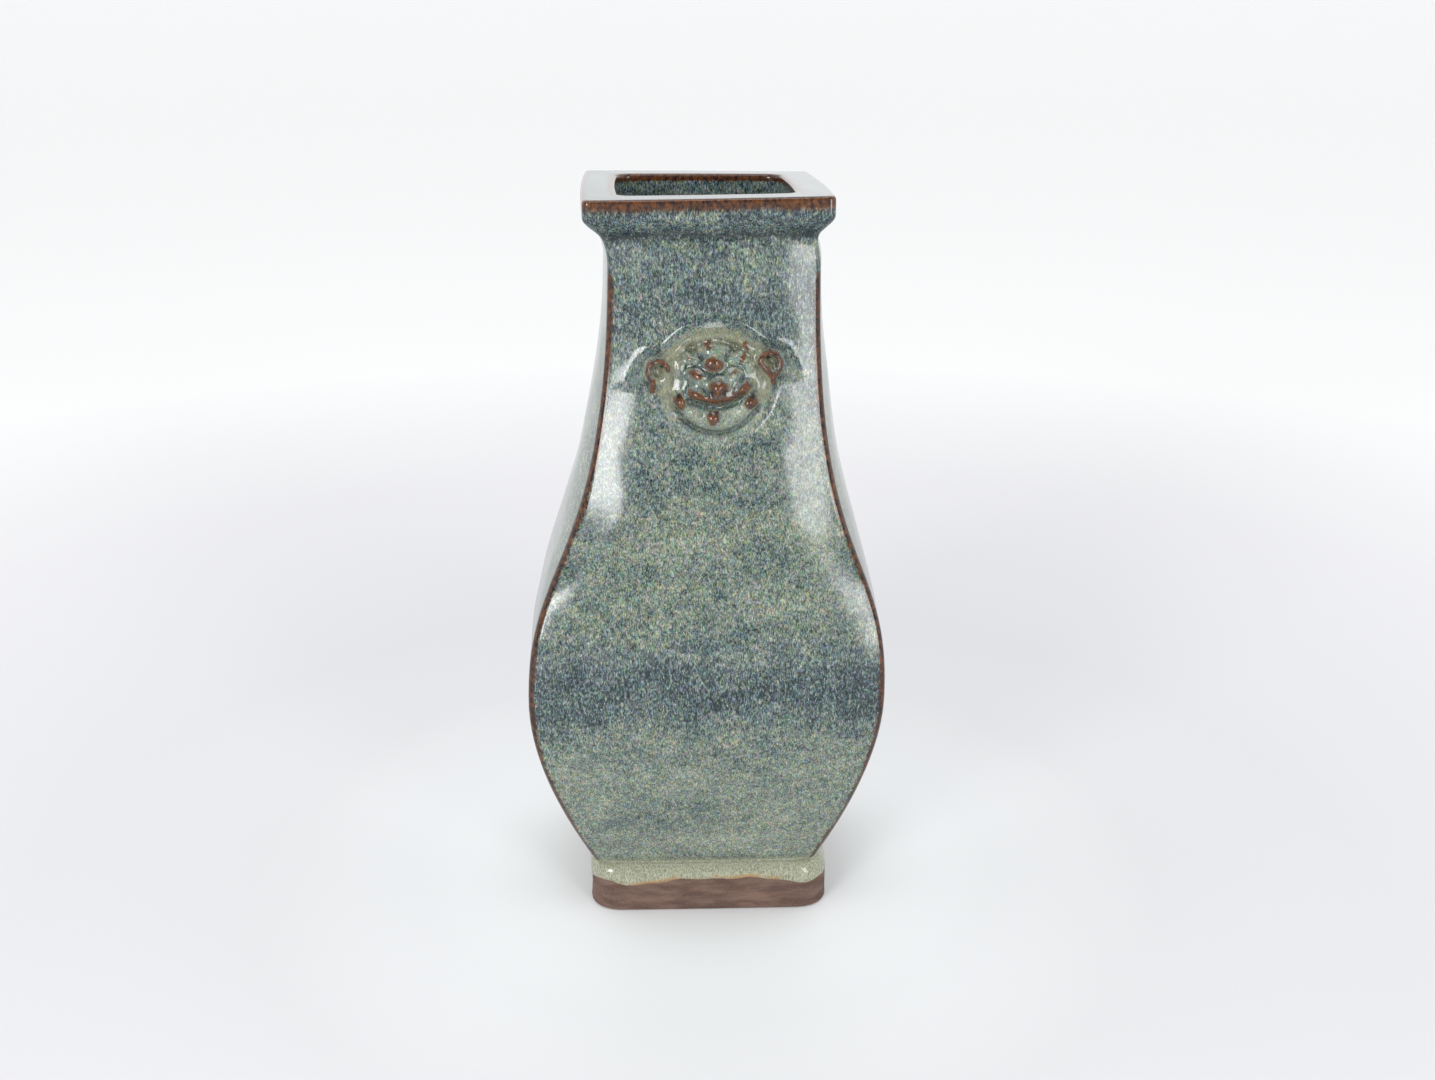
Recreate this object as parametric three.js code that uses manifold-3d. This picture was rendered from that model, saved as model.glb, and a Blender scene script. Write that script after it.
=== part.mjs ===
// A square baluster vase of glazed stoneware, with a lion mask in relief on its front and on its back.
// Millimetres, +Z up. The origin is on the ground, under the middle of the body, and the front faces -Y.
import * as THREE from "three";
import { mergeVertices } from "three/addons/utils/BufferGeometryUtils.js";
import Module from "manifold-3d";

// Foot: a square ring with round corners, a bare vertical side and a glazed round shoulder.
const FOOT_HALF = 50.4; // half of the foot's width
const FOOT_CORNER = 12; // corner radius seen from above
const FOOT_SIDE_TOP = 14.5; // height of the vertical side
const FOOT_SHOULDER_TOP = 21.7;
const FOOT_SHOULDER_CORNER = 11;
const FOOT_EDGE = 1.6; // rounding of the edge that stands on the ground
const FOOT_RING = 9; // width of the ring that stands on the ground
const RECESS_DEPTH = 8; // hollow under the vase, inside the ring
const RECESS_CORNER = 8;
const RECESS_SLOPE = 1; // how much wider the recess is at the ground than at its top
const FOOT_BOW = 0.6; // how far the middle of a side stands out past its corners

// Body: the waist above the foot, the belly, and the neck under the lip. A side bows most at the shoulder.
const WAIST_HALF = 46.9;
const WAIST_Z = 22.5;
const BELLY_HALF = 70.4;
const BELLY_Z = 106.5;
const NECK_HALF = 40.2;
const NECK_Z = 281;
const BODY_CORNER = 2.4;
const WAIST_BOW = 1;
const BELLY_BOW = 2.4;
const SHOULDER_BOW = 6.2;
const NECK_BOW = 3;
const SHOULDER_BOW_FROM_Z = 138.5;
const SHOULDER_BOW_FULL_Z = 183;
const SHOULDER_BOW_UNTIL_Z = 195;

// Handles of the outline's two curves: how far each pulls out, up or down from its end.
const WAIST_PULL_OUT = 7.6;
const WAIST_PULL_UP = 16.7;
const BELLY_PULL_DOWN = 28.5;
const BELLY_PULL_UP = 66;
const NECK_PULL_DOWN = 132;

// Lip: a hollow moulding, a slope that leans out at 45 degrees, then an upright band with a flat top.
const LIP_HALF = 47.2;
const LIP_BOTTOM_Z = 289.2; // top of the slope
const LIP_SLOPE = 2.5; // width of the slope, and its height
const LIP_ROUND = 2.3; // how far in from the band the slope ends
const LIP_BAND_FROM_Z = 293;
const MOULDING_BOW = 1.5;
const LIP_BOW = 1.2;
const LIP_EDGE = 1.5;
const HEIGHT = 300;
const MOUTH_HALF = 33.4;
const MOUTH_CORNER = 6;

// Wall and floor.
const WALL = 5.6;
const FLOOR_Z = 16;
const FLOOR_ROUND = 7;
const INNER_CORNER = 6;
const INSIDE_FROM_Z = 27;

// The pot warped in the kiln: how far each level's middle stands to the right.
const FOOT_LEAN = 1.2;
const WAIST_LEAN = -0.5;
const NECK_LEAN = 3.8;
const LIP_LEAN = 0.3;
const BODY_LEAN_FROM_Z = 62.5;
const LIP_LEAN_FROM_Z = 275;
const LIP_SKEW = 0.033; // the back of the lip stands to the left of its front
const LIP_TILT = 0.003; // the lip is higher on the right
const LIP_TWIST = 0.00024; // and more so the nearer it is to the front

// Steps of the mesh.
const SIDE_STEPS = 7;
const CORNER_STEPS = 3;
const LOW_STEPS = 11;
const HIGH_STEPS = 17;

// Mask: a round head with an ear on either side, in its own plane, u to the right and v up from its centre.
const MASK_Z = 231;
const MASK_ROOT = 2; // how deep the mask's back is set into the wall
const MASK_EDGE = 0.3; // height of the mask's outer edge over the wall
const MASK_RISE = 2.9;
const MASK_ROUND = 4.6; // how far in from its outline the mask's rounded edge reaches
const HEAD = { at: [0.6, -0.4], radius: 23.6, innerReach: 23.6, rays: 44, rings: 13 };
const EAR = { size: 9, innerReach: 9, rays: 28, rings: 8 };
const LEFT_EAR_AT = [-21, 4.4];
const RIGHT_EAR_AT = [21.4, 7];
const TIP_FROM = 25; // each ear sinks into the wall between these distances from the mask's middle
const TIP_TO = 38;
const TIP_LOSS = 0.75;

// An ear's outline is a polygon with soft corners: the way each side faces, and how far off it is.
const EAR_SIDES = [
  { facing: 90, distance: 8.6 },
  { facing: 33, distance: 10.2 },
  { facing: -90, distance: 7.6 },
  { facing: 180, distance: 7.4 },
];
const CORNER_SHARPNESS = 7;

const GLAZE = { color: 0x7f9a93, roughness: 0.15, metalness: 0 };

const degrees = THREE.MathUtils.degToRad;
const smooth = (low, high, x) => THREE.MathUtils.smoothstep(x, low, high);

// Lumps on the head: centre, half sizes and height above what they stand on.
const HEAD_LUMPS = {
  face: { at: [0.8, -0.6], half: [17.2, 17], rise: 2.4 },
  muzzle: { at: [0.8, -0.6], half: [10.5, 6.6], rise: 1.6 },
  leftCheek: { at: [-5.4, 1], half: [4.8, 3.6], rise: 1.2 },
  rightCheek: { at: [7.8, 0.8], half: [4.8, 3.4], rise: 1 },
  nose: { at: [1.9, -1.4], half: [4.5, 4], rise: 3 },
  browKnot: { at: [-0.3, 7.6], half: [5.6, 3.6], rise: 2.4 },
  forehead: { at: [0, 12.5], half: [5.4, 5.4], rise: 1.2 },
  leftEye: { at: [-6.9, 4.3], half: [4.3, 2.4], rise: 2.2 },
  rightEye: { at: [7.4, 4.6], half: [4.2, 2.4], rise: 2.1 },
  leftFang: { at: [-13, -7.2], half: [3.3, 4.9], rise: 2.5 },
  rightFang: { at: [14.6, -7.2], half: [4.3, 4.1], rise: 2.5 },
  tongue: { at: [0.2, -12.9], half: [3.8, 4.5], rise: 2.5 },
};

// Ridges follow an arc of an ellipse, and those below zero are grooves. Angles turn left from +u.
const HEAD_RIDGES = {
  mane: { at: [0.6, -0.4], radii: [20, 20], from: -5, to: 185, width: 3.6, rise: 1.5 },
  jawRim: { at: [0.6, -0.4], radii: [20.8, 20.8], from: 195, to: 345, width: 2.8, rise: 0.8 },
  maneGroove: { at: [0.3, -0.5], radii: [16.2, 16.2], from: 40, to: 140, width: 2.2, rise: -1.5 },
  jawGroove: { at: [1.4, -1.9], radii: [17.8, 17.8], from: 205, to: 335, width: 1.8, rise: -2.2 },
  leftBrow: { at: [-9.6, 5.4], radii: [4.4, 5.2], from: 40, to: 190, width: 2, rise: 1.3 },
  rightBrow: { at: [9.8, 5.8], radii: [4.4, 5], from: -5, to: 140, width: 2, rise: 1.3 },
  upperLip: { at: [1.8, 11.4], radii: [17.6, 17.6], from: 235, to: 302, width: 2.2, rise: 1.8 },
  mouth: { at: [1.6, 8.8], radii: [18, 17.8], from: 235, to: 305, width: 1.6, rise: -1.9 },
};

// The ear is drawn for the right side about its curl and mirrored for the left, with +u away from the head.
const EAR_LUMPS = {
  hollow: { at: [0.2, -0.4], half: [2.3, 2.8], rise: -1.6 },
};
const EAR_RIDGES = {
  curl: { at: [0, 0], radii: [3.9, 4], from: -60, to: 190, width: 1.6, rise: 2.5 },
  tail: { at: [6, -4], radii: [4.6, 4.6], from: 165, to: 225, width: 1.6, rise: 2.2 },
};

// A point of a bowed square with round corners. Column 0 starts the front side at its left end.
function sectionPoint(column, { half, bow, corner }) {
  const stepsPerSide = SIDE_STEPS + CORNER_STEPS;
  const side = Math.floor(column / stepsPerSide);
  const step = column % stepsPerSide;
  const reach = Math.max(half - corner, 0);
  const bowAt = (along) => (half > 0 ? bow * (1 - (along / half) ** 2) : 0);
  const point = new THREE.Vector2();
  if (step <= SIDE_STEPS) {
    const along = reach * ((2 * step) / SIDE_STEPS - 1);
    point.set(along, -half - bowAt(along));
  } else {
    const angle = degrees(-90 + (90 * (step - SIDE_STEPS)) / CORNER_STEPS);
    const radius = half - reach + bowAt(reach);
    point.set(reach + radius * Math.cos(angle), -reach + radius * Math.sin(angle));
  }
  return point.rotateAround(new THREE.Vector2(), side * degrees(90));
}

// How far the middle of the fired pot stands to the right at a height.
function leanAt(z) {
  const low = FOOT_LEAN + (WAIST_LEAN - FOOT_LEAN) * smooth(FOOT_SIDE_TOP, WAIST_Z, z);
  const high = (NECK_LEAN - WAIST_LEAN) * smooth(BODY_LEAN_FROM_Z, NECK_Z, z);
  return low + high - (NECK_LEAN - LIP_LEAN) * smooth(LIP_LEAN_FROM_Z, LIP_BOTTOM_Z, z);
}

// Where the kiln's warp has put a point of the straight pot. The lip has a skew, tilt and twist of its own.
function warped(point, z) {
  const x = point.x + leanAt(z) - LIP_SKEW * point.y * smooth(LIP_LEAN_FROM_Z, LIP_BOTTOM_Z, z);
  const tilt = (LIP_TILT - LIP_TWIST * point.y) * smooth(NECK_Z, HEIGHT, z);
  return new THREE.Vector3(x, point.y, z + tilt * x);
}

// How far the middle of a side of the body stands out past its edges at a height.
function bodyBow(z) {
  const belly = WAIST_BOW + (BELLY_BOW - WAIST_BOW) * smooth(WAIST_Z, BELLY_Z, z);
  const shoulder = (SHOULDER_BOW - BELLY_BOW) * smooth(SHOULDER_BOW_FROM_Z, SHOULDER_BOW_FULL_Z, z);
  const neck = (SHOULDER_BOW - NECK_BOW) * smooth(SHOULDER_BOW_UNTIL_Z, NECK_Z, z);
  return belly + shoulder - neck;
}

// The body's outline from the waist to the neck: two cubic curves that meet upright at the belly.
function bodyOutline() {
  const point = (half, z) => new THREE.Vector2(half, z);
  const low = new THREE.CubicBezierCurve(
    point(WAIST_HALF, WAIST_Z),
    point(WAIST_HALF + WAIST_PULL_OUT, WAIST_Z + WAIST_PULL_UP),
    point(BELLY_HALF, BELLY_Z - BELLY_PULL_DOWN),
    point(BELLY_HALF, BELLY_Z),
  );
  const high = new THREE.CubicBezierCurve(
    point(BELLY_HALF, BELLY_Z),
    point(BELLY_HALF, BELLY_Z + BELLY_PULL_UP),
    point(NECK_HALF, NECK_Z - NECK_PULL_DOWN),
    point(NECK_HALF, NECK_Z),
  );
  return [...low.getPoints(LOW_STEPS), ...high.getPoints(HIGH_STEPS).slice(1)];
}

// Points of a quarter turn between two points, each [half, height], drawn towards the corner point.
function rounded(from, corner, to, steps) {
  const [a, b, c] = [from, corner, to].map(([half, z]) => new THREE.Vector2(half, z));
  return new THREE.QuadraticBezierCurve(a, b, c).getPoints(steps);
}

// Levels with one corner radius. The bow is one value, or a function of the height.
function levelsOf(points, bow, corner) {
  const bowAt = typeof bow === "function" ? bow : () => bow;
  return points.map((p) => ({ half: p.x, z: p.y, bow: bowAt(p.y), corner }));
}

// The foot, from the middle of its recess out to the ground, up its side and in over its shoulder.
function footLevels() {
  const ringHalf = FOOT_HALF - FOOT_RING;
  const recess = [
    new THREE.Vector2(0, RECESS_DEPTH),
    new THREE.Vector2(ringHalf, RECESS_DEPTH),
    new THREE.Vector2(ringHalf + RECESS_SLOPE, 0),
  ];
  const edge = rounded([FOOT_HALF - FOOT_EDGE, 0], [FOOT_HALF, 0], [FOOT_HALF, FOOT_EDGE], 2);
  const top = [WAIST_HALF, FOOT_SHOULDER_TOP];
  const shoulder = rounded([FOOT_HALF, FOOT_SIDE_TOP], [FOOT_HALF, FOOT_SHOULDER_TOP - FOOT_EDGE], top, 3);
  return [
    ...levelsOf(recess, 0, RECESS_CORNER),
    ...levelsOf(edge, FOOT_BOW, FOOT_CORNER),
    ...levelsOf(shoulder, FOOT_BOW, FOOT_SHOULDER_CORNER),
  ];
}

// The hollow moulding under the lip, then the lip's band, its flat top and the edge of the mouth.
function lipLevels() {
  const top = [LIP_HALF - LIP_ROUND, LIP_BOTTOM_Z];
  const foot = [top[0] - LIP_SLOPE, top[1] - LIP_SLOPE];
  const moulding = rounded([NECK_HALF, NECK_Z], [NECK_HALF, foot[1] - (foot[0] - NECK_HALF)], foot, 3);
  const band = rounded(top, [LIP_HALF, LIP_BOTTOM_Z + LIP_ROUND], [LIP_HALF, LIP_BAND_FROM_Z], 3);
  const edge = rounded([LIP_HALF, HEIGHT - LIP_EDGE], [LIP_HALF, HEIGHT], [LIP_HALF - LIP_EDGE, HEIGHT], 2);
  const mouthTop = [MOUTH_HALF + LIP_EDGE, HEIGHT];
  const mouth = rounded(mouthTop, [MOUTH_HALF, HEIGHT], [MOUTH_HALF, HEIGHT - LIP_EDGE], 2);
  return [
    ...levelsOf(moulding.slice(1), MOULDING_BOW, BODY_CORNER),
    ...levelsOf(band, LIP_BOW, BODY_CORNER),
    ...levelsOf(edge, LIP_BOW, BODY_CORNER),
    ...levelsOf(mouth, LIP_BOW, MOUTH_CORNER),
  ];
}

// Down the inside, one wall in from the outline, and over the rounded edge of the floor to its middle.
function insideLevels(outline) {
  const wall = outline.filter((p, i) => i % 2 === 1 && p.y > INSIDE_FROM_Z).reverse();
  const inner = wall.map((p) => new THREE.Vector2(p.x - WALL, p.y));
  const half = WAIST_HALF - WALL;
  const floorEdge = rounded([half, FLOOR_Z + FLOOR_ROUND], [half, FLOOR_Z], [half - FLOOR_ROUND, FLOOR_Z], 2);
  return [
    ...levelsOf(inner, bodyBow, INNER_CORNER),
    ...levelsOf(floorEdge, FOOT_BOW, INNER_CORNER),
    ...levelsOf([new THREE.Vector2(0, FLOOR_Z)], 0, 0),
  ];
}

// Every level of the vase, from the middle of its underside, up the outside, over the lip and down inside.
function stations() {
  const outline = bodyOutline();
  const body = levelsOf(outline, bodyBow, BODY_CORNER);
  return [...footLevels(), ...body, ...lipLevels(), ...insideLevels(outline)];
}

// A lathe's closed mesh, each of whose points is then put in its place by its column and its station.
function reshapedLathe(stationCount, columns, place) {
  const radiusOf = (i) => (i % (stationCount - 1) ? 1 : 0);
  const profile = Array.from({ length: stationCount }, (_, i) => new THREE.Vector2(radiusOf(i), i));
  const geometry = new THREE.LatheGeometry(profile, columns);
  const position = geometry.getAttribute("position");
  for (let i = 0; i < position.count; i++) {
    const column = Math.floor(i / stationCount) % columns;
    const p = place(column, i % stationCount);
    position.setXYZ(i, p.x, p.y, p.z);
  }
  geometry.deleteAttribute("normal");
  geometry.deleteAttribute("uv");
  return mergeVertices(geometry, 1e-4);
}

function vesselGeometry() {
  const levels = stations();
  const columns = 4 * (SIDE_STEPS + CORNER_STEPS);
  return reshapedLathe(levels.length, columns, (column, i) => {
    return warped(sectionPoint(column, levels[i]), levels[i].z);
  });
}

// A lump is a dome whose height falls smoothly to nothing at its edge.
function lumpHeight(u, v, { at, half, rise }) {
  const q = ((u - at[0]) / half[0]) ** 2 + ((v - at[1]) / half[1]) ** 2;
  return rise * Math.max(0, 1 - q);
}

// A ridge is highest on its arc and falls smoothly on both sides and past both ends.
function ridgeHeight(u, v, { at, radii, from, to, width, rise }) {
  const middle = degrees((from + to) / 2);
  const turn = Math.atan2((v - at[1]) / radii[1], (u - at[0]) / radii[0]) - middle;
  const wrapped = Math.atan2(Math.sin(turn), Math.cos(turn));
  const reach = degrees((to - from) / 2);
  const angle = middle + THREE.MathUtils.clamp(wrapped, -reach, reach);
  const away = Math.hypot(u - at[0] - radii[0] * Math.cos(angle), v - at[1] - radii[1] * Math.sin(angle));
  return rise * Math.max(0, 1 - (away / width) ** 2);
}

// How far out a point lies in a soft-cornered polygon: 0 in its middle and 1 on its outline.
function polygonShare(u, v, sides) {
  const shares = sides.map(({ facing, distance }) => {
    const out = u * Math.cos(degrees(facing)) + v * Math.sin(degrees(facing));
    return Math.max(0, out / distance) ** CORNER_SHARPNESS;
  });
  return shares.reduce((sum, share) => sum + share, 0) ** (1 / CORNER_SHARPNESS);
}

// The mask's plaque, rounded at its edge, with every lump and ridge added. depth is how far in a point lies.
function reliefHeight(u, v, depth, plaque, lumps, ridges) {
  const inward = THREE.MathUtils.clamp(depth / MASK_ROUND, 0, 1);
  let height = plaque * Math.sqrt(1 - (1 - inward) ** 2);
  for (const lump of Object.values(lumps)) height += lumpHeight(u, v, lump);
  for (const ridge of Object.values(ridges)) height += ridgeHeight(u, v, ridge);
  return Math.max(height, MASK_EDGE);
}

// Half width of the body at a height, read off its outline.
function bodyHalf(outline, z) {
  const i = outline.findIndex((p) => p.y > z);
  const [below, above] = [outline[i - 1], outline[i]];
  return THREE.MathUtils.mapLinear(z, below.y, above.y, below.x, above.x);
}

// Height of the plaque's flat top, which sinks towards the tips of the ears.
function plaqueRise(x) {
  return MASK_RISE * (1 - TIP_LOSS * smooth(TIP_FROM, TIP_TO, Math.abs(x)));
}

// Distance in front of the middle plane of a point of the mask that stands at a height over the wall.
function maskDepth(outline, x, z, height) {
  const half = bodyHalf(outline, z);
  return half + bodyBow(z) * (1 - (x / half) ** 2) + height;
}

// One relief as a closed shell: rings that end on its outline, then its edge and a back set in the wall.
function reliefGeometry({ at, origin, size, innerReach, rays, rings, shareOf, heightOf }) {
  const outline = bodyOutline();
  const backRing = rings + 1;
  return reshapedLathe(backRing + 2, rays, (ray, ring) => {
    const angle = (-2 * Math.PI * ray) / rays;
    const reach = 1 / shareOf(Math.cos(angle), Math.sin(angle));
    const share = ring > backRing ? 0 : Math.min(ring / rings, 1);
    const out = share * THREE.MathUtils.lerp(innerReach, reach, share);
    const [u, v] = [out * Math.cos(angle), out * Math.sin(angle)];
    const [x, z] = [at[0] + u, MASK_Z + at[1] + v];
    const depth = size * (1 - shareOf(u, v));
    const front = heightOf(origin[0] + u, origin[1] + v, depth, plaqueRise(x));
    const height = ring < backRing ? front : -MASK_ROOT;
    return new THREE.Vector3(x + leanAt(z), -maskDepth(outline, x, z, height), z);
  });
}

function headGeometry() {
  const shareOf = (u, v) => Math.hypot(u, v) / HEAD.radius;
  const heightOf = (u, v, depth, plaque) => reliefHeight(u, v, depth, plaque, HEAD_LUMPS, HEAD_RIDGES);
  return reliefGeometry({ ...HEAD, origin: HEAD.at, size: HEAD.radius, shareOf, heightOf });
}

function earGeometry(at) {
  const side = Math.sign(at[0]);
  const shareOf = (u, v) => polygonShare(side * u, v, EAR_SIDES);
  const heightOf = (u, v, depth, plaque) => reliefHeight(side * u, v, depth, plaque, EAR_LUMPS, EAR_RIDGES);
  return reliefGeometry({ ...EAR, at, origin: [0, 0], shareOf, heightOf });
}

const wasm = await Module();
wasm.setup();

function solidFrom(geometry) {
  return new wasm.Manifold(
    new wasm.Mesh({
      numProp: 3,
      vertProperties: new Float32Array(geometry.getAttribute("position").array),
      triVerts: new Uint32Array(geometry.index.array),
    }),
  );
}

function geometryFrom(solid) {
  const mesh = solid.getMesh();
  const geometry = new THREE.BufferGeometry();
  geometry.setAttribute("position", new THREE.BufferAttribute(mesh.vertProperties, 3));
  geometry.setIndex(new THREE.BufferAttribute(mesh.triVerts, 1));
  geometry.computeVertexNormals();
  return geometry;
}

// The masks are luted on: the front one's reliefs, and the same turned half round the middle for the back.
function vase() {
  const front = [headGeometry(), earGeometry(LEFT_EAR_AT), earGeometry(RIGHT_EAR_AT)];
  const back = front.map((relief) => relief.clone().rotateZ(Math.PI).translate(2 * leanAt(MASK_Z), 0, 0));
  const vessel = solidFrom(vesselGeometry());
  const joined = [...front, ...back].reduce((solid, relief) => solid.add(solidFrom(relief)), vessel);
  const mesh = new THREE.Mesh(geometryFrom(joined), new THREE.MeshStandardMaterial(GLAZE));
  mesh.name = "vase";
  return mesh;
}

const part = new THREE.Group();
part.add(vase());

export default part;
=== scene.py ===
# %% [markdown]
# # A square baluster vase of glazed stoneware
# The pot was built of four slabs of clay, luted together at the corners and beaten to a curve.
# Two lion masks, pressed in a mould, were stuck on while the clay was soft.
# A thick flecked glaze covers it all but the foot. It runs thin on edges, where it fires brown.
# This scene makes the pot as one fine surface, gives it its glaze, and lights it as in the photograph.

import bpy
import numpy as np
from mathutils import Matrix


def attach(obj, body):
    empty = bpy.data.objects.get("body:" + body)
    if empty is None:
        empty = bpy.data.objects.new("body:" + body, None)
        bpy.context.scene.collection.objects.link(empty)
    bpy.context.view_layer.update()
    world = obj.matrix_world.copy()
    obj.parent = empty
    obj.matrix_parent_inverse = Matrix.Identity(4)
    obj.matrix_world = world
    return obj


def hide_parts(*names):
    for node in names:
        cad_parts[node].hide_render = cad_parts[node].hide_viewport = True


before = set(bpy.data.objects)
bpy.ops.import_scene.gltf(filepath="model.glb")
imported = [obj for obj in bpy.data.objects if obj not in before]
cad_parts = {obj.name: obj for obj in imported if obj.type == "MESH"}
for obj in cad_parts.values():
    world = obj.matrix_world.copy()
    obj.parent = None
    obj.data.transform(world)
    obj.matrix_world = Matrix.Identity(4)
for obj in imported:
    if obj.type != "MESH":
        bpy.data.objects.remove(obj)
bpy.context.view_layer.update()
MM = 0.001

# %% [markdown]
# ## Camera
# The photograph was taken from a little above the rim, with the whole of the front face in view.
# The camera's place and lens were found by fitting the pot's outline, rim and foot to the photograph.

# %% Camera
# Places are in millimetres, angles in degrees, and the focal length is in pixels of the photograph.
PHOTO_WIDTH = 1435
FOCAL_PIXELS = 1600
SENSOR_WIDTH = 36
EYE = (-13.8, -646.8, 375.1)
LOOK_DOWN = 19.18
LOOK_RIGHT = 1.78

camera_data = bpy.data.cameras.new("photo camera")
camera_data.sensor_fit = "HORIZONTAL"
camera_data.sensor_width = SENSOR_WIDTH
camera_data.lens = SENSOR_WIDTH * FOCAL_PIXELS / PHOTO_WIDTH
camera_data.clip_start = 0.02
camera_data.clip_end = 200
camera = bpy.data.objects.new("photo camera", camera_data)
camera.location = [MM * value for value in EYE]
camera.rotation_euler = np.radians((90 - LOOK_DOWN, 0, -LOOK_RIGHT))
bpy.context.scene.collection.objects.link(camera)
bpy.context.scene.camera = camera
bpy.context.scene.view_settings.view_transform = "Standard"
print("lens", round(camera_data.lens, 2), "mm")

# %% [markdown]
# ## Node helpers
# The paper, the room and the glaze are all sums of noise, height and values painted on the mesh.
# Each helper makes one node of such a sum, so that a look further on reads as a formula.

# %% Node helpers
def material_with_shader(name):
    """A new node material: returns (material, its node tree, its Principled shader)."""
    material = bpy.data.materials.new(name)
    material.use_nodes = True
    tree = material.node_tree
    return material, tree, tree.nodes["Principled BSDF"]


def link_node(tree, kind, inputs, **settings):
    """A new node with its settings made and its inputs given, each a value or a node's output socket."""
    made = tree.nodes.new(kind)
    for key, value in settings.items():
        setattr(made, key, value)
    for key, value in inputs.items():
        if isinstance(value, bpy.types.NodeSocket):
            tree.links.new(value, made.inputs[key])
        else:
            made.inputs[key].default_value = value
    return made


def math(tree, operation, first, second=0.0, clamp=False):
    """The result socket of one sum."""
    made = link_node(tree, "ShaderNodeMath", {0: first, 1: second}, operation=operation, use_clamp=clamp)
    return made.outputs[0]


def total(tree, first, *others):
    """The sum of several sockets or numbers."""
    for term in others:
        first = math(tree, "ADD", first, term)
    return first


def times(tree, first, second):
    """The product of two sockets or numbers."""
    return math(tree, "MULTIPLY", first, second)


def swing(tree, noise, reach):
    """A noise moved to swing evenly about zero, times a reach."""
    return times(tree, math(tree, "SUBTRACT", noise, 0.5), reach)


def smoothed(tree, value, low, high):
    """0 below low and 1 above high, with an even S between them. With low above high it falls instead."""
    settings = {"Value": value, "From Min": low, "From Max": high}
    return link_node(tree, "ShaderNodeMapRange", settings, interpolation_type="SMOOTHSTEP").outputs["Result"]


def stretched_noise(tree, place, across, up, detail, roughness, offset):
    """Noise whose grains are about across millimetres wide and up millimetres tall."""
    scaled = link_node(tree, "ShaderNodeMapping", {
        "Vector": place,
        "Location": (offset, offset, offset),
        "Scale": (1 / (across * MM), 1 / (across * MM), 1 / (up * MM)),
    })
    settings = {"Vector": scaled.outputs[0], "Scale": 1.0, "Detail": detail, "Roughness": roughness}
    return link_node(tree, "ShaderNodeTexNoise", settings).outputs["Fac"]


def ramp(tree, value, stops, interpolation="LINEAR"):
    """The colour socket of a colour ramp whose stops are (place, (red, green, blue))."""
    made = link_node(tree, "ShaderNodeValToRGB", {"Fac": value})
    made.color_ramp.interpolation = interpolation
    elements = made.color_ramp.elements
    while len(elements) < len(stops):
        elements.new(0.5)
    for element, (place, colour) in zip(elements, stops):
        element.position = place
        element.color = (*colour, 1)
    return made.outputs["Color"]


def mix(tree, factor, first, second):
    """The colour socket of a mix of two colours."""
    made = link_node(tree, "ShaderNodeMix", {"Factor": factor}, data_type="RGBA")
    for socket, value in (("A", first), ("B", second)):
        target = next(s for s in made.inputs if s.name == socket and s.type == "RGBA")
        if isinstance(value, bpy.types.NodeSocket):
            tree.links.new(value, target)
        else:
            target.default_value = (*value, 1)
    return next(s for s in made.outputs if s.type == "RGBA")


def painted(tree, name):
    """The value socket of one of the mesh's own attributes."""
    return link_node(tree, "ShaderNodeAttribute", {}, attribute_name=name).outputs["Fac"]


print("node helpers:", *(helper.__name__ for helper in (math, smoothed, stretched_noise, ramp, mix)))

# %% [markdown]
# ## Floor
# The pot stands on white paper that reaches back past the top of the picture, so there is no horizon to see.
# A very large plane does the same and hides nothing from any side.

# %% Floor
FLOOR_SIZE = 160.0
PAPER_ROUGHNESS = 0.55
PAPER_SPECULAR = 0.3
# Painted light on the paper, its colour at each distance in metres from the pot: a painted pool of light
# whitest where the lamps meet, darker between, and pale again far away.
PAPER_PAINTED_LIGHT = (
    (0.08, (0.85, 0.86, 0.87)),
    (0.13, (0.74, 0.745, 0.755)),
    (0.20, (0.66, 0.66, 0.67)),
    (0.30, (0.65, 0.645, 0.66)),
    (0.60, (0.73, 0.72, 0.735)),
    (1.0, (0.88, 0.88, 0.87)),
)

bpy.ops.mesh.primitive_plane_add(size=FLOOR_SIZE)
floor = bpy.context.object
floor.name = "paper floor"
paper, paper_tree, paper_shader = material_with_shader("white paper")
paper_place = paper_tree.nodes.new("ShaderNodeTexCoord").outputs["Object"]
# The paper's colour carries painted light and shade, set by its distance from the pot.
away = link_node(paper_tree, "ShaderNodeVectorMath", {0: paper_place}, operation="LENGTH").outputs["Value"]
paper_tree.links.new(ramp(paper_tree, away, PAPER_PAINTED_LIGHT), paper_shader.inputs["Base Color"])
paper_shader.inputs["Roughness"].default_value = PAPER_ROUGHNESS
paper_shader.inputs["Specular IOR Level"].default_value = PAPER_SPECULAR
floor.data.materials.append(paper)
print("floor", FLOOR_SIZE, "m wide")

# %% [markdown]
# ## Light
# Two tall softboxes stand left and right behind the camera.
# They make the soft white shapes along the neck and belly, and a third lights the shoulder from above.
# The paper and the room glow all round and above, and only the side behind the camera is dim.
# That is why the front face keeps its deep colour while the rim and the turned-away sides mirror white.

# %% Softboxes and room
LIGHT_TARGET = np.array([0.0, 0.0, 0.19])
SOFTBOXES = {
    "left softbox": dict(azimuth=-32.0, elevation=11.6, distance=1.6, width=0.48, height=0.60, power=12.6),
    "right softbox": dict(azimuth=31.0, elevation=8.8, distance=1.6, width=0.42, height=0.84, power=8.5),
    "top softbox": dict(azimuth=0.0, elevation=70.0, distance=1.6, width=0.62, height=0.40, power=3.6),
}
ROOM_DIM = 0.35
ROOM_BRIGHT = 1.3
ROOM_TURN = (-0.75, 0.1)
ROOM_COLOUR = (0.97, 0.985, 1, 1)


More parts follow.
